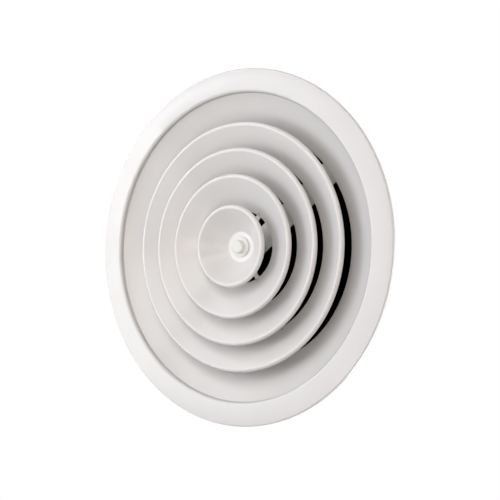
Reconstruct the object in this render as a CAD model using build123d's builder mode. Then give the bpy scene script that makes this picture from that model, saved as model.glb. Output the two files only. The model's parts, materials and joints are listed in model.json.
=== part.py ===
from build123d import *
from math import acos, atan2, cos, degrees, hypot, pi, radians, sin, tan
import os

os.makedirs("parts", exist_ok=True)

# Round ceiling air diffuser with an adjustable core, in millimetres.
# The origin lies on the axis in the ceiling plane. +Z points up into the duct, the louvre
# face looks down and +X runs along the bridge bar. The core is drawn fully lowered.

# Outer cone: lip, flange, step, cone and neck, all spun from one sheet
sheet = 1.2  # every spun part is this thick
face_radius = 225.0  # outer edge of the flange
lip_height = 4.5  # the flange's face hangs this far below the ceiling
lip_bend = 1.8
flange_width = 29.4
step_inset = 0.8  # the step's wall leans inwards this far before it meets the cone
step_height = 6.3  # the wall's height above the flange's face
step_bend = 4.2  # rounding over the flange's inner edge
crease_bend = 1.2
neck_radius = 149.1  # inside of the neck
neck_base = 35.0  # height at which the cone would meet the neck
neck_top = 66.0
neck_bend = 3.2

# Connecting collar, which lines the neck and reaches up into the duct
neck_clearance = 0.1  # radial; leaves the collar 298 mm across, for a duct of 300 mm
collar_wall = 1.0
collar_base = 39.0
collar_top = 98.0
bead_middle = 68.4  # height of the swaged bead that stops the duct above the neck's edge
bead_depth = 1.9
bead_slope_height = 1.6
bead_root_bend = 0.6
bead_crest_bend = 1.5

# Foam gasket between the flange and the ceiling
gasket_width = 17.0
gasket_gap = 1.0  # between the gasket and the lip

# Louvre rings: outside radius of the rolled rim and height of its centre, then inside radius
# and height of the cone's inner edge, both of the face that looks down
outer_rim_radius = 158.3
outer_rim_height = 2.0
outer_back_radius = 115.6
outer_back_height = 25.2
middle_rim_radius = 124.8
middle_rim_height = -3.7
middle_back_radius = 79.8
middle_back_height = 22.1
inner_rim_radius = 91.2
inner_rim_height = -8.3
inner_back_radius = 46.0
inner_back_height = 17.8

# Centre cone: a shallow dish with a flat floor
dish_rim_radius = 52.3
dish_rim_height = -9.0
dish_floor_radius = 19.5
dish_floor_height = 13.5  # underside of the floor
dish_bend = 3.0

# Rolled rims
rim_roll_radius = 3.5  # outside radius of the roll
rim_roll_angle = 292.0

# Hub plate and the three straps that carry the rings
hub_plate_radius = 30.0
hub_plate_thickness = 1.5
strap_count = 3
strap_angle = -20.0  # direction of the first strap from +X
strap_width = 6.0
strap_thickness = 1.5
strap_inner_radius = 17.0
strap_seat = 6.6  # each strap lies this far along a ring's cone from its inner edge
strap_bend = 2.0
strap_overlap = 1.2  # the strap stays straight this far past the hub plate and each seat
strap_corner = 2.0
hub_rivet_circle = 24.0
strap_rivet_radius = 1.2
strap_rivet_head = 2.2
strap_rivet_dome = 0.9
rivet_edge = 0.8  # between a ring rivet's head and the ring's inner edge

# Plastic bush in the middle of the core, and the ring that holds it
bush_body_radius = 6.0
bush_flange_radius = 10.7
bush_flange_thickness = 1.5
bush_height = 2.4  # the bush stands this far above the hub plate
bush_ring_radius = 10.0
bush_ring_thickness = 1.2

# Adjusting screw, M6 x 50, with its washer and retaining clip
screw_radius = 3.0
screw_length = 50.0
screw_across_flats = 10.0
screw_head_height = 4.0
screw_tip_chamfer = 0.6
washer_radius = 6.0
washer_thickness = 1.6
clip_radius = 5.5
clip_thickness = 0.8
clip_groove_depth = 0.5
clip_mouth_angle = 58.0
running_clearance = 0.08  # radial, between the screw and what it turns in
end_play = 0.1  # axial, between faces that turn on each other

# Snap cap over the screw's head: a round button on a flange
cap_flange_radius = 13.2
cap_flange_thickness = 2.5
cap_flange_edge = 0.9
cap_radius = 8.4
cap_wall = 1.2
cap_height = 8.7
cap_gap = 0.3  # between the cap and the dish and bush that it covers
cap_edge_radius = 1.8
cap_root_radius = 0.8

# Bridge bar across the collar, with the threaded insert that the screw climbs
bar_height = 44.0  # underside
bar_width = 30.0
bar_thickness = 2.0
bar_foot_top = 65.0
bar_bend = 2.5
seat_gap = 0.05  # between curved faces that are riveted together
insert_flange_radius = 6.5
insert_flange_thickness = 1.0
insert_body_radius = 4.5
insert_bulge_radius = 6.0
insert_bulge_height = 3.0
insert_height = 11.0  # above the bar

# Room that a drill or a cut-out takes past the sheets it goes through
through_cut = 10.0

# Blind rivets through the collar
rivet_radius = 2.0
rivet_head_radius = 4.0
rivet_dome = 1.3
rivet_tail_radius = 3.2
rivet_tail_height = 2.0
collar_rivet_count = 8
collar_rivet_height = 58.0
foot_rivet_spread = 18.0  # distance between the two rivets of one foot


def spin(path_points, bend_radii, thickness, side):
    """A sheet spun round the Z axis; the points are one of its faces, as radius and height."""
    with BuildPart() as spun:
        with BuildSketch(Plane.XZ):
            with BuildLine():
                FilletPolyline(*path_points, radius=bend_radii)
                offset(amount=thickness, side=side)
            make_face()
        revolve(axis=Axis.Z)
    return spun


def rim_touch(start, rim_radius, rim_height):
    """Centre of a rolled rim, and the angle at which a line from a start point runs into it."""
    roll_centre = (rim_radius - rim_roll_radius, rim_height)
    to_start = (start[0] - roll_centre[0], start[1] - roll_centre[1])
    touch_angle = atan2(to_start[1], to_start[0]) + acos(rim_roll_radius / hypot(*to_start))
    return roll_centre, touch_angle


def spin_with_rolled_rim(path_points, bend_radii, rim_radius, rim_height):
    """A spun sheet whose outer edge is rolled back on itself into a round rim."""
    roll_centre, touch_angle = rim_touch(path_points[-1], rim_radius, rim_height)
    touch = (
        roll_centre[0] + rim_roll_radius * cos(touch_angle),
        roll_centre[1] + rim_roll_radius * sin(touch_angle),
    )
    with BuildPart() as spun:
        with BuildSketch(Plane.XZ):
            with BuildLine():
                if bend_radii:
                    FilletPolyline(*path_points, touch, radius=bend_radii)
                else:
                    Line(*path_points, touch)
                offset(amount=sheet, side=Side.LEFT)
            make_face()
            with BuildLine():
                outside = CenterArc(
                    roll_centre, rim_roll_radius, degrees(touch_angle), rim_roll_angle
                )
                inside = CenterArc(
                    roll_centre, rim_roll_radius - sheet, degrees(touch_angle), rim_roll_angle
                )
                Line(outside @ 0, inside @ 0)
                Line(outside @ 1, inside @ 1)
            make_face()
        revolve(axis=Axis.Z)
    return spun


def cone_place(ring_sizes, along, above):
    """A place on a ring's cone over +X: how far along from its inner edge, and how far above
    the face that looks down. Its Z axis stands square to the cone."""
    rim_radius, rim_height, back_radius, back_height = ring_sizes
    _, touch_angle = rim_touch((back_radius, back_height), rim_radius, rim_height)
    fall = 1.5 * pi - touch_angle
    return Location(
        (
            back_radius + along * cos(fall) + above * sin(fall),
            0,
            back_height - along * sin(fall) + above * cos(fall),
        ),
        (0, degrees(fall), 0),
    )


def rivet_hole(place):
    """A drill for one strap rivet."""
    with BuildPart(mode=Mode.PRIVATE) as drill:
        Cylinder(strap_rivet_radius + seat_gap, through_cut)
    return drill.part.moved(place)


def louvre_ring(ring_sizes):
    """One ring: a straight cone with a rolled rim, drilled for its rivets."""
    rim_radius, rim_height, back_radius, back_height = ring_sizes
    ring = spin_with_rolled_rim([(back_radius, back_height)], None, rim_radius, rim_height)
    with BuildPart() as drilled:
        add(ring.part)
        with PolarLocations(0, strap_count, strap_angle):
            add(rivet_hole(cone_place(ring_sizes, rivet_along, 0)), mode=Mode.SUBTRACT)
    return drilled


def dome_sphere(base_radius, rise):
    """Radius of the sphere that a low dome is cut from."""
    return (base_radius**2 + rise**2) / (2 * rise)


def radial_rivet(inside_radius, outside_radius, height):
    """A blind rivet along +X: tail inside, domed head outside."""
    tail_face = inside_radius - 2 * seat_gap
    tail_end = tail_face - rivet_tail_height
    dome_end = outside_radius + rivet_dome
    with BuildPart(mode=Mode.PRIVATE) as rivet:
        with BuildSketch(Plane.XZ):
            with BuildLine():
                Polyline(
                    (dome_end, height),
                    (tail_end, height),
                    (tail_end, height + rivet_radius),
                    (tail_face, height + rivet_tail_radius),
                    (tail_face, height + rivet_radius),
                    (outside_radius, height + rivet_radius),
                    (outside_radius, height + rivet_head_radius),
                )
                RadiusArc(
                    (outside_radius, height + rivet_head_radius),
                    (dome_end, height),
                    dome_sphere(rivet_head_radius, rivet_dome),
                )
            make_face()
        revolve(axis=Axis((0, 0, height), (1, 0, 0)))
    return rivet.part


def strap_rivet(grip):
    """A solid rivet along Z from the origin, with a low dome at each end of its grip."""
    underside = -seat_gap
    topside = grip + seat_gap
    sphere = dome_sphere(strap_rivet_head, strap_rivet_dome)
    with BuildPart(mode=Mode.PRIVATE) as rivet:
        with BuildSketch(Plane.XZ):
            with BuildLine():
                RadiusArc(
                    (strap_rivet_head, underside), (0, underside - strap_rivet_dome), sphere
                )
                Polyline(
                    (strap_rivet_head, underside),
                    (strap_rivet_radius, underside),
                    (strap_rivet_radius, topside),
                    (strap_rivet_head, topside),
                )
                RadiusArc(
                    (0, topside + strap_rivet_dome), (strap_rivet_head, topside), sphere
                )
                Line((0, topside + strap_rivet_dome), (0, underside - strap_rivet_dome))
            make_face()
        revolve(axis=Axis.Z)
    return rivet.part


def washer(outer_radius, inner_radius, base, thickness):
    """A flat ring on the axis."""
    with BuildPart() as ring:
        with BuildSketch(Plane.XY.offset(base)):
            Circle(outer_radius)
            Circle(inner_radius, mode=Mode.SUBTRACT)
        extrude(amount=thickness)
    return ring


def save(name, solid):
    """Label a finished piece and write it under its node's name."""
    solid.label = name
    export_step(solid, f"parts/{name}.step")


# Outer cone, drilled for the rivets of the collar and of the bar's feet
flange_face = -lip_height
flange_inner_radius = face_radius - flange_width
outer_cone_spun = spin(
    [
        (face_radius, 0),
        (face_radius, flange_face),
        (flange_inner_radius, flange_face),
        (flange_inner_radius - step_inset, flange_face + step_height),
        (neck_radius, neck_base),
        (neck_radius, neck_top),
    ],
    [lip_bend, step_bend, crease_bend, neck_bend],
    sheet,
    Side.RIGHT,
)
neck_outer_radius = neck_radius + sheet
collar_radius = neck_radius - neck_clearance
foot_rivet_angle = degrees(atan2(foot_rivet_spread / 2, collar_radius))
collar_rivet_pitch = 360 / collar_rivet_count

with BuildPart() as rivet_holes:
    with PolarLocations(0, collar_rivet_count, collar_rivet_pitch / 2):
        with Locations((neck_radius, 0, collar_rivet_height)):
            Cylinder(rivet_radius + seat_gap, through_cut, rotation=(0, 90, 0))
    for foot_angle in (-foot_rivet_angle, foot_rivet_angle):
        with PolarLocations(0, 2, foot_angle):
            with Locations((neck_radius, 0, collar_rivet_height)):
                Cylinder(rivet_radius + seat_gap, through_cut, rotation=(0, 90, 0))

with BuildPart() as outer_cone:
    add(outer_cone_spun.part)
    add(rivet_holes.part, mode=Mode.SUBTRACT)
save("outer_cone", outer_cone.part)

# Connecting collar, with a bead swaged outwards
collar_inner_radius = collar_radius - collar_wall
collar_spun = spin(
    [
        (collar_radius, collar_base),
        (collar_radius, bead_middle - bead_slope_height),
        (collar_radius + bead_depth, bead_middle),
        (collar_radius, bead_middle + bead_slope_height),
        (collar_radius, collar_top),
    ],
    [bead_root_bend, bead_crest_bend, bead_root_bend],
    collar_wall,
    Side.LEFT,
)
with BuildPart() as neck_collar:
    add(collar_spun.part)
    add(rivet_holes.part, mode=Mode.SUBTRACT)
save("neck_collar", neck_collar.part)

collar_rivet = radial_rivet(collar_inner_radius, neck_outer_radius, collar_rivet_height)
with BuildPart() as collar_rivets:
    with PolarLocations(0, collar_rivet_count, collar_rivet_pitch / 2):
        add(collar_rivet)
save("collar_rivets", collar_rivets.part)

# Ceiling gasket, from the back of the flange up to the ceiling
gasket_outer_radius = face_radius - sheet - gasket_gap
ceiling_gasket = washer(
    gasket_outer_radius,
    gasket_outer_radius - gasket_width,
    flange_face + sheet,
    lip_height - sheet,
)
save("ceiling_gasket", ceiling_gasket.part)

# Bridge bar: a flat strip whose ends turn up into feet curved to the collar
foot_outer_radius = collar_inner_radius - seat_gap
foot_inner_radius = foot_outer_radius - bar_thickness
with BuildPart() as bridge_bar:
    with BuildSketch(Plane.XY.offset(bar_height)):
        Rectangle(2 * foot_outer_radius + bar_width, bar_width)
        Circle(foot_outer_radius, mode=Mode.INTERSECT)
    extrude(amount=bar_foot_top - bar_height)
    with BuildSketch(Plane.XY.offset(bar_height + bar_thickness)):
        Circle(foot_inner_radius)
    extrude(amount=bar_foot_top - bar_height, mode=Mode.SUBTRACT)
    lower_bends = bridge_bar.faces().sort_by(Axis.Z)[0].edges().filter_by(GeomType.CIRCLE)
    fillet(lower_bends, bar_bend)
    with Locations((0, 0, bar_height)):
        Cylinder(insert_body_radius + seat_gap, through_cut, mode=Mode.SUBTRACT)
    add(rivet_holes.part, mode=Mode.SUBTRACT)
save("bridge_bar", bridge_bar.part)

foot_rivet = radial_rivet(foot_inner_radius, neck_outer_radius, collar_rivet_height)
with BuildPart() as bridge_rivets:
    for foot_angle in (-foot_rivet_angle, foot_rivet_angle):
        with PolarLocations(0, 2, foot_angle):
            add(foot_rivet)
save("bridge_rivets", bridge_rivets.part)

# Threaded insert set in the bar
bar_top = bar_height + bar_thickness
with BuildPart() as bridge_nut:
    with BuildSketch(Plane.XZ):
        with BuildLine():
            Polyline(
                (screw_radius + running_clearance, bar_height - insert_flange_thickness),
                (insert_flange_radius, bar_height - insert_flange_thickness),
                (insert_flange_radius, bar_height),
                (insert_body_radius, bar_height),
                (insert_body_radius, bar_top),
                (insert_bulge_radius, bar_top),
                (insert_body_radius, bar_top + insert_bulge_height),
                (insert_body_radius, bar_top + insert_height),
                (screw_radius + running_clearance, bar_top + insert_height),
                close=True,
            )
        make_face()
    revolve(axis=Axis.Z)
save("bridge_nut", bridge_nut.part)

# Core: three louvre rings
rivet_along = rivet_edge + strap_rivet_head
rings = {
    "outer": (outer_rim_radius, outer_rim_height, outer_back_radius, outer_back_height),
    "middle": (middle_rim_radius, middle_rim_height, middle_back_radius, middle_back_height),
    "inner": (inner_rim_radius, inner_rim_height, inner_back_radius, inner_back_height),
}
for ring_name, ring_sizes in rings.items():
    save(f"louvre_ring_{ring_name}", louvre_ring(ring_sizes).part)

# Centre cone, with a hole in its floor for the bush
dish = spin_with_rolled_rim(
    [(0, dish_floor_height), (dish_floor_radius, dish_floor_height)],
    dish_bend,
    dish_rim_radius,
    dish_rim_height,
)
with BuildPart() as centre_cone:
    add(dish.part)
    with BuildSketch(Plane.XY.offset(dish_floor_height)):
        Circle(bush_body_radius + seat_gap)
    extrude(amount=sheet, mode=Mode.SUBTRACT)
save("centre_cone", centre_cone.part)

# Hub plate, resting on the dish's floor
hub_base = dish_floor_height + sheet
hub_top = hub_base + hub_plate_thickness
with BuildPart() as hub_plate:
    with BuildSketch(Plane.XY.offset(hub_base)):
        Circle(hub_plate_radius)
        Circle(bush_body_radius + seat_gap, mode=Mode.SUBTRACT)
        with PolarLocations(hub_rivet_circle, strap_count, strap_angle):
            Circle(strap_rivet_radius + seat_gap, mode=Mode.SUBTRACT)
    extrude(amount=hub_plate_thickness)
save("hub_plate", hub_plate.part)

# Straps: each lies on the hub plate and on the backs of the three cones, and runs straight
# in between
strap_line = [(strap_inner_radius, hub_top), (hub_plate_radius + strap_overlap, hub_top)]
hub_rivet_place = Location((hub_rivet_circle, 0, hub_base))
rivet_places = [hub_rivet_place]
for ring_name in ("inner", "middle", "outer"):
    for along in (-strap_overlap, strap_seat + strap_overlap):
        corner = cone_place(rings[ring_name], along, sheet).position
        strap_line.append((corner.X, corner.Z))
    rivet_places.append(cone_place(rings[ring_name], rivet_along, 0))
end_direction = rivet_places[-1].z_axis.direction

for strap_number in range(strap_count):
    turn = strap_angle + strap_number * 360 / strap_count
    with BuildPart() as strap:
        with BuildSketch(Plane.XZ):
            with BuildLine():
                FilletPolyline(*strap_line, radius=strap_bend)
                offset(amount=strap_thickness, side=Side.LEFT)
            make_face()
        extrude(amount=strap_width / 2, both=True)
        fillet(strap.edges().filter_by(Axis.Z), strap_corner)
        fillet(strap.edges().filter_by(Axis((0, 0, 0), end_direction)), strap_corner)
        for rivet_place in rivet_places:
            add(rivet_hole(rivet_place), mode=Mode.SUBTRACT)
    save(f"core_strap_{strap_number + 1}", strap.part.rotate(Axis.Z, turn))

hub_rivet = strap_rivet(hub_plate_thickness + strap_thickness).moved(hub_rivet_place)
with BuildPart() as hub_rivets:
    with PolarLocations(0, strap_count, strap_angle):
        add(hub_rivet)
save("hub_rivets", hub_rivets.part)

ring_rivet = strap_rivet(sheet + strap_thickness)
with BuildPart() as ring_rivets:
    for rivet_place in rivet_places[1:]:
        with PolarLocations(0, strap_count, strap_angle):
            add(ring_rivet.moved(rivet_place))
save("ring_rivets", ring_rivets.part)

# Bush through the dish's floor and the hub plate, held by a pressed-on ring
flange_base = dish_floor_height - bush_flange_thickness
bush_top = hub_top + bush_height
with BuildPart() as core_bush:
    with BuildSketch(Plane.XY.offset(flange_base)):
        Circle(bush_flange_radius)
    extrude(amount=bush_flange_thickness)
    with BuildSketch(Plane.XY.offset(dish_floor_height)):
        Circle(bush_body_radius)
    extrude(amount=bush_top - dish_floor_height)
    with BuildSketch(Plane.XY.offset(flange_base)):
        Circle(screw_radius + running_clearance)
    extrude(amount=bush_top - flange_base, mode=Mode.SUBTRACT)
save("core_bush", core_bush.part)

bush_ring = washer(bush_ring_radius, bush_body_radius, hub_top, bush_ring_thickness)
save("bush_ring", bush_ring.part)

# Adjusting screw with its washer under the head and its clip above the bush
washer_base = flange_base - end_play - washer_thickness
head_base = washer_base - screw_head_height
clip_base = bush_top + end_play
groove_radius = screw_radius - clip_groove_depth
with BuildPart() as adjusting_screw:
    with BuildSketch(Plane.XY.offset(head_base)):
        RegularPolygon(screw_across_flats / 2, 6, major_radius=False)
    extrude(amount=screw_head_height)
    with BuildSketch(Plane.XY.offset(washer_base)):
        Circle(screw_radius)
    extrude(amount=screw_length)
    chamfer(adjusting_screw.edges().group_by(Axis.Z)[-1], screw_tip_chamfer)
    with BuildSketch(Plane.XY.offset(clip_base)):
        Circle(screw_radius)
        Circle(groove_radius, mode=Mode.SUBTRACT)
    extrude(amount=clip_thickness, mode=Mode.SUBTRACT)
save("adjusting_screw", adjusting_screw.part)

screw_washer = washer(
    washer_radius, screw_radius + running_clearance, washer_base, washer_thickness
)
save("screw_washer", screw_washer.part)

mouth_half_width = 2 * clip_radius * tan(radians(clip_mouth_angle / 2))
with BuildPart() as screw_clip:
    with BuildSketch(Plane.XY.offset(clip_base)):
        Circle(clip_radius)
        Circle(groove_radius, mode=Mode.SUBTRACT)
        with BuildLine():
            Polyline(
                (0, 0),
                (2 * clip_radius, mouth_half_width),
                (2 * clip_radius, -mouth_half_width),
                close=True,
            )
        make_face(mode=Mode.SUBTRACT)
    extrude(amount=clip_thickness)
save("screw_clip", screw_clip.part)

# Snap cap: the button clears the screw's head and the flange sits over the bush's flange
cap_top = dish_floor_height - cap_gap
cap_base = cap_top - cap_height
cap_root = cap_top - cap_flange_thickness
with BuildPart() as centre_cap:
    with BuildSketch(Plane.XZ):
        with BuildLine():
            Line((0, cap_base), (0, cap_base + cap_wall))
            Polyline(
                (0, cap_base + cap_wall),
                (cap_radius - cap_wall, cap_base + cap_wall),
                (cap_radius - cap_wall, flange_base - cap_gap),
                (bush_flange_radius + cap_gap, flange_base - cap_gap),
                (bush_flange_radius + cap_gap, cap_top),
                (cap_flange_radius, cap_top),
            )
            FilletPolyline(
                (cap_flange_radius, cap_top),
                (cap_flange_radius, cap_root),
                (cap_radius, cap_root),
                (cap_radius, cap_base),
                (0, cap_base),
                radius=[cap_flange_edge, cap_root_radius, cap_edge_radius],
            )
        make_face()
    revolve(axis=Axis.Z)
save("centre_cap", centre_cap.part)
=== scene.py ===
import json
import math
import bpy
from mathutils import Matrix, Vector


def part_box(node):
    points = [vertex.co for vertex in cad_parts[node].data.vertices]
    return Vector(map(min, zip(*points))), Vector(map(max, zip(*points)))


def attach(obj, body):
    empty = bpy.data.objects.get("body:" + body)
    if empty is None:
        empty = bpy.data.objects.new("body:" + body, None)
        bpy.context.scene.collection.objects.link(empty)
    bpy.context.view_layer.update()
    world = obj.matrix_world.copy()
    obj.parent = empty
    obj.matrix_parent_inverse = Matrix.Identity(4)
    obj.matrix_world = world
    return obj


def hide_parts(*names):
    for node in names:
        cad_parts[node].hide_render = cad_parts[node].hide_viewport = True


# Round ceiling air diffuser, hanging face down with the ceiling plane at z = 0.
# Lengths are in metres unless a name ends in Mm.

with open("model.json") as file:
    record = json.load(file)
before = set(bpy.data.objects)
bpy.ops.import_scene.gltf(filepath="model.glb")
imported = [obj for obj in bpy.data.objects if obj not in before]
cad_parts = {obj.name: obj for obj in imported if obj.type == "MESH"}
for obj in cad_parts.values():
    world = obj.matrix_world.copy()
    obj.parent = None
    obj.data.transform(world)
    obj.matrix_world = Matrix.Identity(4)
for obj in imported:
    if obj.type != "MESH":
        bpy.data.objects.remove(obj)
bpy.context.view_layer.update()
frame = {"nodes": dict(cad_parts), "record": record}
nodes = frame["nodes"]
mm = 0.001
mixSocket = {"factor": 0, "first": 6, "second": 7, "result": 2}  # a colour Mix's, by number
noiseLow, noiseHigh = 0.3, 0.7  # most values of a noise lie between these


def hexColour(code):
    # sRGB hex to the linear values that nodes take
    values = []
    for start in (1, 3, 5):
        part = int(code[start:start + 2], 16) / 255
        values.append(part / 12.92 if part <= 0.04045 else ((part + 0.055) / 1.055) ** 2.4)
    return (*values, 1.0)


def addNode(tree, kind, settings=None, inputs=None):
    # settings are the node's own choices; an input takes a value, or a socket to link from
    node = tree.nodes.new(kind)
    for name, value in (settings or {}).items():
        setattr(node, name, value)
    for name, value in (inputs or {}).items():
        if isinstance(value, bpy.types.NodeSocket):
            tree.links.new(value, node.inputs[name])
        else:
            node.inputs[name].default_value = value
    return node


def newMaterial(name):
    material = bpy.data.materials.new(name)
    material.use_nodes = True
    tree = material.node_tree
    tree.nodes.clear()
    return material, tree


def perMetre(sizeMm):
    # texture scale that makes one feature this many millimetres wide
    return 1 / (sizeMm * mm)


powderCoat = {
    "colour": "#E5E5E6",
    "shade": "#DFDFE0",  # where the film is a little thinner
    "roughness": (0.15, 0.24),
    "ior": 1.5,
    "peelMm": 2.2,  # orange peel of the cured powder
    "peelHeightMm": 0.01,
    "peelStrength": 0.5,
    "filmMm": 60,
    "passMm": 3.5,  # rings of the spinning tool under the film, coarser than real to show
    "passHeightMm": 0.008,
}


def powderCoatedSteel():
    # polyester powder cured on spun sheet: even white, satin gloss, a faint orange peel and
    # fainter rings round the axis that draw the highlights out along the radius
    look = powderCoat
    material, tree = newMaterial("powder-coated steel")
    place = addNode(tree, "ShaderNodeTexCoord")
    flat = addNode(tree, "ShaderNodeVectorMath", {"operation": "MULTIPLY"}, {
        0: place.outputs["Object"], 1: (1, 1, 0)})
    reach = addNode(tree, "ShaderNodeVectorMath", {"operation": "LENGTH"}, {
        0: flat.outputs["Vector"]})
    passes = addNode(tree, "ShaderNodeTexNoise", {"noise_dimensions": "1D"}, {
        "W": reach.outputs["Value"], "Scale": perMetre(look["passMm"]), "Detail": 1.0})
    film = addNode(tree, "ShaderNodeTexNoise", {"noise_dimensions": "3D"}, {
        "Vector": place.outputs["Object"], "Scale": perMetre(look["filmMm"]), "Detail": 2.0,
        "Roughness": 0.5})
    peel = addNode(tree, "ShaderNodeTexNoise", {"noise_dimensions": "3D"}, {
        "Vector": place.outputs["Object"], "Scale": perMetre(look["peelMm"]), "Detail": 1.5,
        "Roughness": 0.4})
    colour = addNode(tree, "ShaderNodeMix", {"data_type": "RGBA"}, {
        mixSocket["factor"]: film.outputs["Fac"],
        mixSocket["first"]: hexColour(look["colour"]),
        mixSocket["second"]: hexColour(look["shade"])})
    gloss = addNode(tree, "ShaderNodeMapRange", None, {
        "Value": film.outputs["Fac"], "From Min": noiseLow, "From Max": noiseHigh,
        "To Min": look["roughness"][0], "To Max": look["roughness"][1]})
    rings = addNode(tree, "ShaderNodeBump", None, {
        "Height": passes.outputs["Fac"], "Distance": look["passHeightMm"] * mm})
    bump = addNode(tree, "ShaderNodeBump", None, {
        "Height": peel.outputs["Fac"], "Strength": look["peelStrength"],
        "Distance": look["peelHeightMm"] * mm, "Normal": rings.outputs["Normal"]})
    surface = addNode(tree, "ShaderNodeBsdfPrincipled", None, {
        "Base Color": colour.outputs[mixSocket["result"]],
        "Roughness": gloss.outputs["Result"],
        "IOR": look["ior"], "Normal": bump.outputs["Normal"]})
    addNode(tree, "ShaderNodeOutputMaterial", None, {"Surface": surface.outputs["BSDF"]})
    return material


galvanised = {
    "bright": "#D8D9D7",
    "dull": "#C8C9C7",
    "spangleMm": 7,
    "wanderMm": 6,  # how far the crystals' edges stray
    "wanderSizeMm": 10.5,  # length over which they stray
    "roughness": (0.5, 0.65),
    "grainMm": 0.6,  # coarser than the zinc's real grain, so that it shows
    "grainHeightMm": 0.02,
    "grainStrength": 0.25,
}


def galvanisedSteel():
    # hot-dip zinc on sheet: small crystals (spangle), each with its own grey and gloss
    look = galvanised
    material, tree = newMaterial("galvanised steel")
    place = addNode(tree, "ShaderNodeTexCoord")
    wander = addNode(tree, "ShaderNodeTexNoise", None, {
        "Vector": place.outputs["Object"], "Scale": perMetre(look["wanderSizeMm"]),
        "Detail": 2.0})
    bent = addNode(tree, "ShaderNodeVectorMath", {"operation": "MULTIPLY_ADD"}, {
        0: wander.outputs["Color"], 1: [look["wanderMm"] * mm] * 3,
        2: place.outputs["Object"]})
    spangle = addNode(tree, "ShaderNodeTexVoronoi", {"feature": "F1"}, {
        "Vector": bent.outputs["Vector"], "Scale": perMetre(look["spangleMm"])})
    crystal = addNode(tree, "ShaderNodeSeparateColor", None, {"Color": spangle.outputs["Color"]})
    grain = addNode(tree, "ShaderNodeTexNoise", None, {
        "Vector": place.outputs["Object"], "Scale": perMetre(look["grainMm"]), "Detail": 1.0})
    colour = addNode(tree, "ShaderNodeMix", {"data_type": "RGBA"}, {
        mixSocket["factor"]: crystal.outputs["Red"],
        mixSocket["first"]: hexColour(look["dull"]),
        mixSocket["second"]: hexColour(look["bright"])})
    gloss = addNode(tree, "ShaderNodeMapRange", None, {
        "Value": crystal.outputs["Green"], "To Min": look["roughness"][0],
        "To Max": look["roughness"][1]})
    bump = addNode(tree, "ShaderNodeBump", None, {
        "Height": grain.outputs["Fac"], "Strength": look["grainStrength"],
        "Distance": look["grainHeightMm"] * mm})
    surface = addNode(tree, "ShaderNodeBsdfPrincipled", None, {
        "Base Color": colour.outputs[mixSocket["result"]], "Metallic": 1.0,
        "Roughness": gloss.outputs["Result"], "Normal": bump.outputs["Normal"]})
    addNode(tree, "ShaderNodeOutputMaterial", None, {"Surface": surface.outputs["BSDF"]})
    return material


drawnAluminium = {
    "bright": "#DCDDDF",
    "dull": "#C4C6C8",
    "roughness": (0.28, 0.42),
    "markMm": 1.2,  # coarser than real tool marks, so that they show
    "markHeightMm": 0.02,
    "markStrength": 0.2,
}
zincPlate = {
    "bright": "#CDCFC9",
    "dull": "#A9ACA8",
    "roughness": (0.24, 0.40),
    "markMm": 0.8,  # also coarser than real
    "markHeightMm": 0.02,
    "markStrength": 0.2,
}


def plainMetal(name, look):
    # small drawn or turned hardware: fine tool marks that vary the gloss
    material, tree = newMaterial(name)
    place = addNode(tree, "ShaderNodeTexCoord")
    marks = addNode(tree, "ShaderNodeTexNoise", None, {
        "Vector": place.outputs["Object"], "Scale": perMetre(look["markMm"]), "Detail": 3.0})
    colour = addNode(tree, "ShaderNodeMix", {"data_type": "RGBA"}, {
        mixSocket["factor"]: marks.outputs["Fac"],
        mixSocket["first"]: hexColour(look["dull"]),
        mixSocket["second"]: hexColour(look["bright"])})
    gloss = addNode(tree, "ShaderNodeMapRange", None, {
        "Value": marks.outputs["Fac"], "From Min": noiseLow, "From Max": noiseHigh,
        "To Min": look["roughness"][0], "To Max": look["roughness"][1]})
    bump = addNode(tree, "ShaderNodeBump", None, {
        "Height": marks.outputs["Fac"], "Strength": look["markStrength"],
        "Distance": look["markHeightMm"] * mm})
    surface = addNode(tree, "ShaderNodeBsdfPrincipled", None, {
        "Base Color": colour.outputs[mixSocket["result"]], "Metallic": 1.0,
        "Roughness": gloss.outputs["Result"], "Normal": bump.outputs["Normal"]})
    addNode(tree, "ShaderNodeOutputMaterial", None, {"Surface": surface.outputs["BSDF"]})
    return material


foam = {
    "colour": "#3A3B3D",
    # painted shade: the darker grey put into each pore's pit
    "poreShade": "#1E1F20",
    "poreMm": 0.9,
    "poreDepthMm": 0.2,
    "poreStrength": 0.6,
    "roughness": 0.92,
    "ior": 1.45,
}


def closedCellFoam():
    # extruded foam strip: matt dark grey, with open pores where it was cut; the pits of the
    # pores are painted darker as shade
    look = foam
    material, tree = newMaterial("closed-cell foam")
    place = addNode(tree, "ShaderNodeTexCoord")
    pores = addNode(tree, "ShaderNodeTexVoronoi", {"feature": "F1"}, {
        "Vector": place.outputs["Object"], "Scale": perMetre(look["poreMm"])})
    # painted shade in the pores, darkest where the bump sinks deepest
    colour = addNode(tree, "ShaderNodeMix", {"data_type": "RGBA"}, {
        mixSocket["factor"]: pores.outputs["Distance"],
        mixSocket["first"]: hexColour(look["poreShade"]),
        mixSocket["second"]: hexColour(look["colour"])})
    bump = addNode(tree, "ShaderNodeBump", None, {
        "Height": pores.outputs["Distance"], "Strength": look["poreStrength"],
        "Distance": look["poreDepthMm"] * mm})
    surface = addNode(tree, "ShaderNodeBsdfPrincipled", None, {
        "Base Color": colour.outputs[mixSocket["result"]], "Roughness": look["roughness"],
        "IOR": look["ior"], "Normal": bump.outputs["Normal"]})
    addNode(tree, "ShaderNodeOutputMaterial", None, {"Surface": surface.outputs["BSDF"]})
    return material


plastic = {
    "colour": "#E0E0DE",
    "shade": "#D9D9D7",
    "roughness": (0.24, 0.34),
    "ior": 1.53,
    "grainMm": 0.8,  # coarser than the mould's real texture, so that it shows
    "grainHeightMm": 0.01,
    "grainStrength": 0.3,
}


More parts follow.
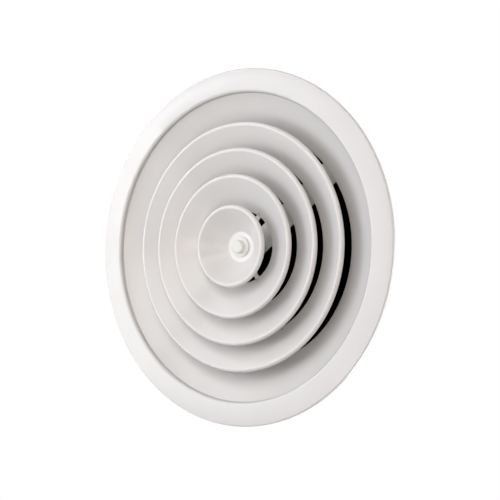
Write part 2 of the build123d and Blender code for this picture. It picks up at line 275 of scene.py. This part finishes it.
def mouldedAbs():
    # injection-moulded ABS: clean white, soft gloss, a very fine mould texture
    look = plastic
    material, tree = newMaterial("moulded ABS")
    place = addNode(tree, "ShaderNodeTexCoord")
    grain = addNode(tree, "ShaderNodeTexNoise", None, {
        "Vector": place.outputs["Object"], "Scale": perMetre(look["grainMm"]), "Detail": 2.0})
    colour = addNode(tree, "ShaderNodeMix", {"data_type": "RGBA"}, {
        mixSocket["factor"]: grain.outputs["Fac"],
        mixSocket["first"]: hexColour(look["colour"]),
        mixSocket["second"]: hexColour(look["shade"])})
    gloss = addNode(tree, "ShaderNodeMapRange", None, {
        "Value": grain.outputs["Fac"], "To Min": look["roughness"][0],
        "To Max": look["roughness"][1]})
    bump = addNode(tree, "ShaderNodeBump", None, {
        "Height": grain.outputs["Fac"], "Strength": look["grainStrength"],
        "Distance": look["grainHeightMm"] * mm})
    surface = addNode(tree, "ShaderNodeBsdfPrincipled", None, {
        "Base Color": colour.outputs[mixSocket["result"]],
        "Roughness": gloss.outputs["Result"],
        "IOR": look["ior"], "Normal": bump.outputs["Normal"]})
    addNode(tree, "ShaderNodeOutputMaterial", None, {"Surface": surface.outputs["BSDF"]})
    return material


finishes = {
    "white_coating": powderCoatedSteel(),
    "zinc_sheet": galvanisedSteel(),
    "aluminium_rivet": plainMetal("drawn aluminium", drawnAluminium),
    "zinc_steel": plainMetal("zinc-plated steel", zincPlate),
    "foam": closedCellFoam(),
    "white_plastic": mouldedAbs(),
}
for part in frame["record"]["subparts"]:
    piece = nodes[part["node"]]
    piece.data.materials.clear()
    piece.data.materials.append(finishes[part["material_slot"]])
print("materials done")

smoothing = {"weldMm": 0.002, "sharpDegrees": 35}


def smoothTurnedSurfaces(piece):
    # rounded faces shade smoothly and real edges stay crisp
    weld = piece.modifiers.new("join", "WELD")
    weld.merge_threshold = smoothing["weldMm"] * mm
    piece.data.shade_smooth()
    crisp = piece.modifiers.new("crisp edges", "EDGE_SPLIT")
    crisp.split_angle = math.radians(smoothing["sharpDegrees"])


for piece in nodes.values():
    smoothTurnedSurfaces(piece)
print("smoothing done")


def addPiece(name, verts, faces, body, slot, replaced):
    # a new mesh that stands for one CAD node and moves with its body
    mesh = bpy.data.meshes.new(name)
    mesh.from_pydata(verts, [], faces)
    mesh.update()
    piece = bpy.data.objects.new(name, mesh)
    bpy.context.scene.collection.objects.link(piece)
    mesh.materials.append(finishes[slot])
    smoothTurnedSurfaces(piece)
    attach(piece, body)
    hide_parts(replaced)


def turned(profile, steps, first):
    # profile points are (radius, height); a radius of 0 closes the end
    verts, faces, rows = [], [], []
    for radius, height in profile:
        if radius == 0:
            rows.append([first + len(verts)] * steps)
            verts.append(Vector((0, 0, height)))
            continue
        rows.append([first + len(verts) + step for step in range(steps)])
        for step in range(steps):
            angle = 2 * math.pi * step / steps
            verts.append(Vector((radius * math.cos(angle), radius * math.sin(angle), height)))
    for lower, upper in zip(rows, rows[1:]):
        for step in range(steps):
            after = (step + 1) % steps
            corners = [lower[step], lower[after], upper[after], upper[step]]
            faces.append(list(dict.fromkeys(corners)))
    return verts, faces


screwLook = {
    "radiusMm": 3.0,
    "rootMm": 2.42,
    "pitchMm": 1.0,
    "headMm": 4.0,
    "acrossFlatsMm": 10.0,
    "faceShare": 0.94,  # share of the width across flats that the head's flat end takes up
    "chamfer": 0.45,  # fall of the chamfer for each unit outwards
    "plainMm": 8.4,  # the shank that turns in the bush
    "grooveMm": 0.8,
    "grooveRadiusMm": 2.5,
    "crest": (0.44, 0.56),  # where the thread's flat top starts and ends within the pitch
    "runOutTurns": 0.75,  # turns in which the thread rises to its full depth
    "tipMm": 0.7,  # bare end past the thread
    "tipChamferMm": 0.175,
    "stepsPerTurn": 30,
    "sides": 6,
    "stepsPerSide": 8,
}


def hexHead(look, base):
    # a hexagon cut by a cone at the free end, so that each flat ends in a shallow curve
    steps = look["sides"] * look["stepsPerSide"]
    side = 2 * math.pi / look["sides"]
    flat = look["acrossFlatsMm"] / 2
    faceRadius = flat * look["faceShare"]
    verts, faces = [], []
    for level in range(3):
        for step in range(steps):
            angle = 2 * math.pi * (step + 0.5) / steps
            hexRadius = flat / math.cos(angle % side - side / 2)
            radius = faceRadius if level == 0 else hexRadius
            height = (0, look["chamfer"] * (hexRadius - faceRadius), look["headMm"])[level]
            verts.append(Vector((radius * math.cos(angle), radius * math.sin(angle),
                                 base + height)))
    for level in range(2):
        for step in range(steps):
            here = level * steps + step
            after = level * steps + (step + 1) % steps
            faces.append([here, after, after + steps, here + steps])
    faces.append(list(reversed(range(steps))))
    faces.append(list(range(2 * steps, 3 * steps)))
    return verts, faces


def adjustingScrew():
    # hexagon-head screw with a cut metric thread, a groove for the clip and a chamfered tip
    look = screwLook
    low, high = (point.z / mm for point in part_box("adjusting_screw"))
    seat = low + look["headMm"]
    grooveBase = seat + look["plainMm"]
    threadBase = grooveBase + look["grooveMm"]
    verts, faces = hexHead(look, low)
    core = [(look["radiusMm"], seat), (look["radiusMm"], grooveBase),
            (look["grooveRadiusMm"], grooveBase), (look["grooveRadiusMm"], threadBase),
            (look["rootMm"], threadBase), (look["rootMm"], high - look["tipChamferMm"]),
            (look["rootMm"] - look["tipChamferMm"], high), (0, high)]
    moreVerts, moreFaces = turned(core, look["stepsPerTurn"], len(verts))
    verts += moreVerts
    faces += moreFaces
    crestStart, crestEnd = look["crest"]
    shape = ((look["rootMm"], 0.0), (look["radiusMm"], crestStart),
             (look["radiusMm"], crestEnd), (look["rootMm"], 1.0))
    threadLength = high - look["tipMm"] - threadBase - look["pitchMm"]
    count = int(threadLength / look["pitchMm"] * look["stepsPerTurn"])
    start = len(verts)
    for step in range(count + 1):
        angle = 2 * math.pi * step / look["stepsPerTurn"]
        fromEnd = min(step, count - step) / look["stepsPerTurn"]
        full = min(1.0, fromEnd / look["runOutTurns"])
        base = threadBase + look["pitchMm"] * step / look["stepsPerTurn"]
        for radius, share in shape:
            radius = look["rootMm"] + (radius - look["rootMm"]) * full
            verts.append(Vector((radius * math.cos(angle), radius * math.sin(angle),
                                 base + share * look["pitchMm"])))
    for step in range(count):
        for edge in range(len(shape) - 1):
            here = start + step * len(shape) + edge
            ahead = here + len(shape)
            faces.append([here, ahead, ahead + 1, here + 1])
    addPiece("screw_thread", [point * mm for point in verts], faces, "screw", "zinc_steel",
             "adjusting_screw")


rivetLook = {
    "headMm": 4.0,
    "domeMm": 1.3,
    "domeShares": (0.97, 0.9, 0.8, 0.65, 0.5, 0.38),  # of the head's radius, one per ring
    "recessMm": 1.15,  # the hole that the mandrel was pulled through
    "recessDepthMm": 1.0,
    "lipMm": 0.15,
    "stubMm": 1.0,
    "stubEnd": ((1.0, 0.45), (0.55, 0.2), (0.0, 0.32)),  # radius share, mm under the head's top
    "bodyMm": 2.0,
    "tail": ((0, 2.1), (2.0, 2.1), (3.2, 1.1), (3.1, 0.4), (2.0, 0.1)),  # mm: radius, depth
    "steps": 32,
    "neckFaceMm": 149.0,
    "outsideMm": 150.3,  # the neck's outer face, which the heads sit on
    "collarInsideMm": 148.0,
    "collarCount": 8,
    "footInsideMm": 145.9,
    "footAsideMm": 9.0,  # each of a foot's two rivets from the bar's middle line
}


def blindRivets(name, node, insideMm, angles):
    # domed blind rivets: a hollow head with the snapped mandrel inside it, and a bulged tail
    look = rivetLook
    low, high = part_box(node)
    height = (low.z + high.z) / 2
    sphere = (look["headMm"] ** 2 + look["domeMm"] ** 2) / (2 * look["domeMm"])
    sphereBase = look["outsideMm"] + look["domeMm"] - sphere
    head = [(look["headMm"], look["outsideMm"])]
    for share in look["domeShares"]:
        radius = look["headMm"] * share
        head.append((radius, sphereBase + math.sqrt(sphere ** 2 - radius ** 2)))
    lipRadius = look["recessMm"] + look["lipMm"]
    top = sphereBase + math.sqrt(sphere ** 2 - lipRadius ** 2)
    floor = top - look["recessDepthMm"]
    head += [(lipRadius, top), (look["recessMm"], top - look["lipMm"]),
             (look["recessMm"], floor), (look["stubMm"], floor)]
    head += [(look["stubMm"] * share, top - depth) for share, depth in look["stubEnd"]]
    tail = [(radius, insideMm - depth) for radius, depth in look["tail"]]
    tail.append((look["bodyMm"], look["outsideMm"]))
    verts, faces = [], []
    for angle in angles:
        oneVerts, oneFaces = turned(tail + head, look["steps"], len(verts))
        turn = math.radians(angle)
        for point in oneVerts:
            out, side, rise = point.z, point.x, point.y
            verts.append(Vector((out * math.cos(turn) - side * math.sin(turn),
                                 out * math.sin(turn) + side * math.cos(turn),
                                 rise + height / mm)))
        faces += oneFaces
    addPiece(name, [point * mm for point in verts], faces, "frame", "aluminium_rivet", node)


adjustingScrew()
collarStep = 360 / rivetLook["collarCount"]
blindRivets("collar_blind_rivets", "collar_rivets", rivetLook["collarInsideMm"],
            [collarStep * (n + 0.5) for n in range(rivetLook["collarCount"])])
footAngle = math.degrees(math.atan2(rivetLook["footAsideMm"], rivetLook["neckFaceMm"]))
blindRivets("bridge_blind_rivets", "bridge_rivets", rivetLook["footInsideMm"],
            [end + way * footAngle for end in (0, 180) for way in (-1, 1)])
print("fastenings done")

surroundings = {
    "floorHeight": -2.4,
    "floorSide": 16.0,
    "floor": "#F4F4F2",
    "floorRoughness": 0.8,
    "floorGlow": 0.8,  # lifts the floor to the backdrop's white where it is seen
    "worldLight": 0.09,  # even light from all round
    # painted shade: the near-black of the disc that stands for the darkness inside the duct
    "duct": "#020202",
    "ductRadiusMm": 147.5,
    "ductSides": 96,
    "ductLeak": 0.2,  # share of the light that the duct's mouth lets down to the bar
}


def seenRays(tree):
    # 1 where the camera looks, straight or through a reflection or clear material
    path = addNode(tree, "ShaderNodeLightPath")
    seen = addNode(tree, "ShaderNodeMath", {"operation": "MAXIMUM"}, {
        0: path.outputs["Is Camera Ray"], 1: path.outputs["Is Glossy Ray"]})
    return addNode(tree, "ShaderNodeMath", {"operation": "MAXIMUM"}, {
        0: seen.outputs[0], 1: path.outputs["Is Transmission Ray"]}).outputs[0]


def paleFloor():
    bpy.ops.mesh.primitive_plane_add(
        size=surroundings["floorSide"], location=(0, 0, surroundings["floorHeight"]))
    floor = bpy.context.object
    floor.name = "floor"
    material, tree = newMaterial("pale floor")
    glow = addNode(tree, "ShaderNodeMath", {"operation": "MULTIPLY"}, {
        0: seenRays(tree), 1: surroundings["floorGlow"]})
    surface = addNode(tree, "ShaderNodeBsdfPrincipled", None, {
        "Base Color": hexColour(surroundings["floor"]),
        "Roughness": surroundings["floorRoughness"], "Emission Color": (1, 1, 1, 1),
        "Emission Strength": glow.outputs[0]})
    addNode(tree, "ShaderNodeOutputMaterial", None, {"Surface": surface.outputs["BSDF"]})
    floor.data.materials.append(material)


def ductShadeDisc():
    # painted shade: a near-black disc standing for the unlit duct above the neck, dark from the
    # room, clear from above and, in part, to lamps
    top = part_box("neck_collar")[1].z
    bpy.ops.mesh.primitive_circle_add(
        vertices=surroundings["ductSides"], radius=surroundings["ductRadiusMm"] * mm,
        fill_type="NGON", location=(0, 0, top), rotation=(math.pi, 0, 0))
    duct = bpy.context.object
    duct.name = "duct_painted_shade"
    material, tree = newMaterial("painted duct shade")
    side = addNode(tree, "ShaderNodeNewGeometry")
    path = addNode(tree, "ShaderNodeLightPath")
    leak = addNode(tree, "ShaderNodeMath", {"operation": "MULTIPLY"}, {
        0: path.outputs["Is Shadow Ray"], 1: surroundings["ductLeak"]})
    opening = addNode(tree, "ShaderNodeMath", {"operation": "MAXIMUM"}, {
        0: side.outputs["Backfacing"], 1: leak.outputs[0]})
    dark = addNode(tree, "ShaderNodeBsdfDiffuse", None, {
        "Color": hexColour(surroundings["duct"])})
    clear = addNode(tree, "ShaderNodeBsdfTransparent")
    choice = addNode(tree, "ShaderNodeMixShader", None, {0: opening.outputs[0]})
    tree.links.new(dark.outputs[0], choice.inputs[1])
    tree.links.new(clear.outputs[0], choice.inputs[2])
    addNode(tree, "ShaderNodeOutputMaterial", None, {"Surface": choice.outputs[0]})
    duct.data.materials.append(material)


def whiteWorld():
    # white where the camera and reflections look, and a plain softer light on the object
    world = bpy.data.worlds.new("studio")
    bpy.context.scene.world = world
    world.use_nodes = True
    tree = world.node_tree
    tree.nodes.clear()
    light = addNode(tree, "ShaderNodeBackground", None, {
        "Color": (1, 1, 1, 1), "Strength": surroundings["worldLight"]})
    white = addNode(tree, "ShaderNodeBackground", None, {"Color": (1, 1, 1, 1), "Strength": 1.0})
    choice = addNode(tree, "ShaderNodeMixShader", None, {0: seenRays(tree)})
    tree.links.new(light.outputs[0], choice.inputs[1])
    tree.links.new(white.outputs[0], choice.inputs[2])
    addNode(tree, "ShaderNodeOutputWorld", None, {"Surface": choice.outputs[0]})


paleFloor()
ductShadeDisc()
whiteWorld()
bpy.context.scene.view_settings.view_transform = "Standard"

# The camera is below the face and to one side, and the bridge bar runs up to the right.
# Angles are in degrees.

camera = {
    "lensMm": 64.8,
    "sensorMm": 36,
    "viewTurn": 40.0,  # from the bar to the view's horizontal, round the axis
    "aside": 36.1,  # angle off the axis, towards the view's right
    "tilt": -2.13,
    "distance": 1.118,
    "aimRightMm": 27.6,
    "aimDownMm": 4.6,
    "nearest": 0.01,
    "farthest": 60,
}
turn = math.radians(camera["viewTurn"])
right = Vector((math.cos(turn), math.sin(turn), 0))
down = Vector((-math.sin(turn), math.cos(turn), 0))
outwards = Vector((0, 0, -1))
aside = math.radians(camera["aside"])
tilt = math.radians(camera["tilt"])
faceCentre = Vector((0, 0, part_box("outer_cone")[0].z))
aim = faceCentre + right * camera["aimRightMm"] * mm + down * camera["aimDownMm"] * mm
towards = (-right * math.sin(aside) + down * math.cos(aside) * math.sin(tilt)
           - outwards * math.cos(aside) * math.cos(tilt)).normalized()
upwards = right.cross(towards).normalized()
if upwards.dot(down) > 0:
    upwards.negate()
cameraData = bpy.data.cameras.new("camera")
cameraData.lens = camera["lensMm"]
cameraData.sensor_width = camera["sensorMm"]
cameraData.clip_start = camera["nearest"]
cameraData.clip_end = camera["farthest"]
cameraObject = bpy.data.objects.new("camera", cameraData)
bpy.context.scene.collection.objects.link(cameraObject)
sideways = towards.cross(upwards)
basis = cameraObject.matrix_world.to_3x3()
basis.col[0], basis.col[1], basis.col[2] = sideways, upwards, -towards
cameraObject.matrix_world = basis.to_4x4()
cameraObject.location = aim - towards * camera["distance"]
bpy.context.scene.camera = cameraObject
print("camera done")

# Soft lamps, placed from the middle of the face along the view's right and down and out into
# the room. The left of the cones mirrors the window lamp.
lamps = {
    "window": {"right": 0.94, "down": 0.0, "out": 1.29, "side": 0.5, "watts": 3.4,
               "colour": "#FFE8CC"},
    "left": {"right": -0.70, "down": 0.0, "out": 0.49, "side": 0.6, "watts": 1.6,
             "colour": "#FFF8E2"},
    "upperLeft": {"right": -0.49, "down": -0.49, "out": 0.49, "side": 0.6, "watts": 1.4,
                  "colour": "#F4F8FF"},
    "leftFront": {"right": -0.86, "down": 0.0, "out": 1.23, "side": 1.0, "watts": 6.5,
                  "colour": "#E6EDFF"},
    "upper": {"right": 0.43, "down": -0.75, "out": 1.23, "side": 1.0, "watts": 7.0,
              "colour": "#FFF7EF"},
    "lower": {"right": 0.43, "down": 0.75, "out": 1.23, "side": 1.0, "watts": 3.2,
              "colour": "#FFF8F2"},
    "front": {"right": 0.0, "down": 0.0, "out": 1.6, "side": 2.4, "watts": 1.0,
              "colour": "#FFFFFF"},
    "above": {"right": 0.4, "down": 0.3, "out": -1.2, "side": 1.2, "watts": 13.0,
              "colour": "#FFFFFF"},
    "behindRight": {"right": 1.03, "down": -0.38, "out": -0.5, "side": 0.8, "watts": 4.0,
                    "colour": "#FFFFFF"},
    "behindLower": {"right": 0.55, "down": 0.95, "out": -0.5, "side": 0.8, "watts": 4.0,
                    "colour": "#FFFFFF"},
    "behindLeft": {"right": -0.95, "down": -0.55, "out": -0.5, "side": 0.8, "watts": 4.0,
                   "colour": "#FFFFFF"},
}


def softLamp(name, lamp):
    data = bpy.data.lights.new(name, "AREA")
    data.shape = "SQUARE"
    data.size = lamp["side"]
    data.energy = lamp["watts"]
    data.color = hexColour(lamp["colour"])[:3]
    light = bpy.data.objects.new(name, data)
    bpy.context.scene.collection.objects.link(light)
    light.location = right * lamp["right"] + down * lamp["down"] + outwards * lamp["out"]
    light.rotation_euler = (-light.location).to_track_quat("-Z", "Y").to_euler()
    light.visible_camera = False


for name, lamp in lamps.items():
    softLamp(name + "_lamp", lamp)
print("stage done")
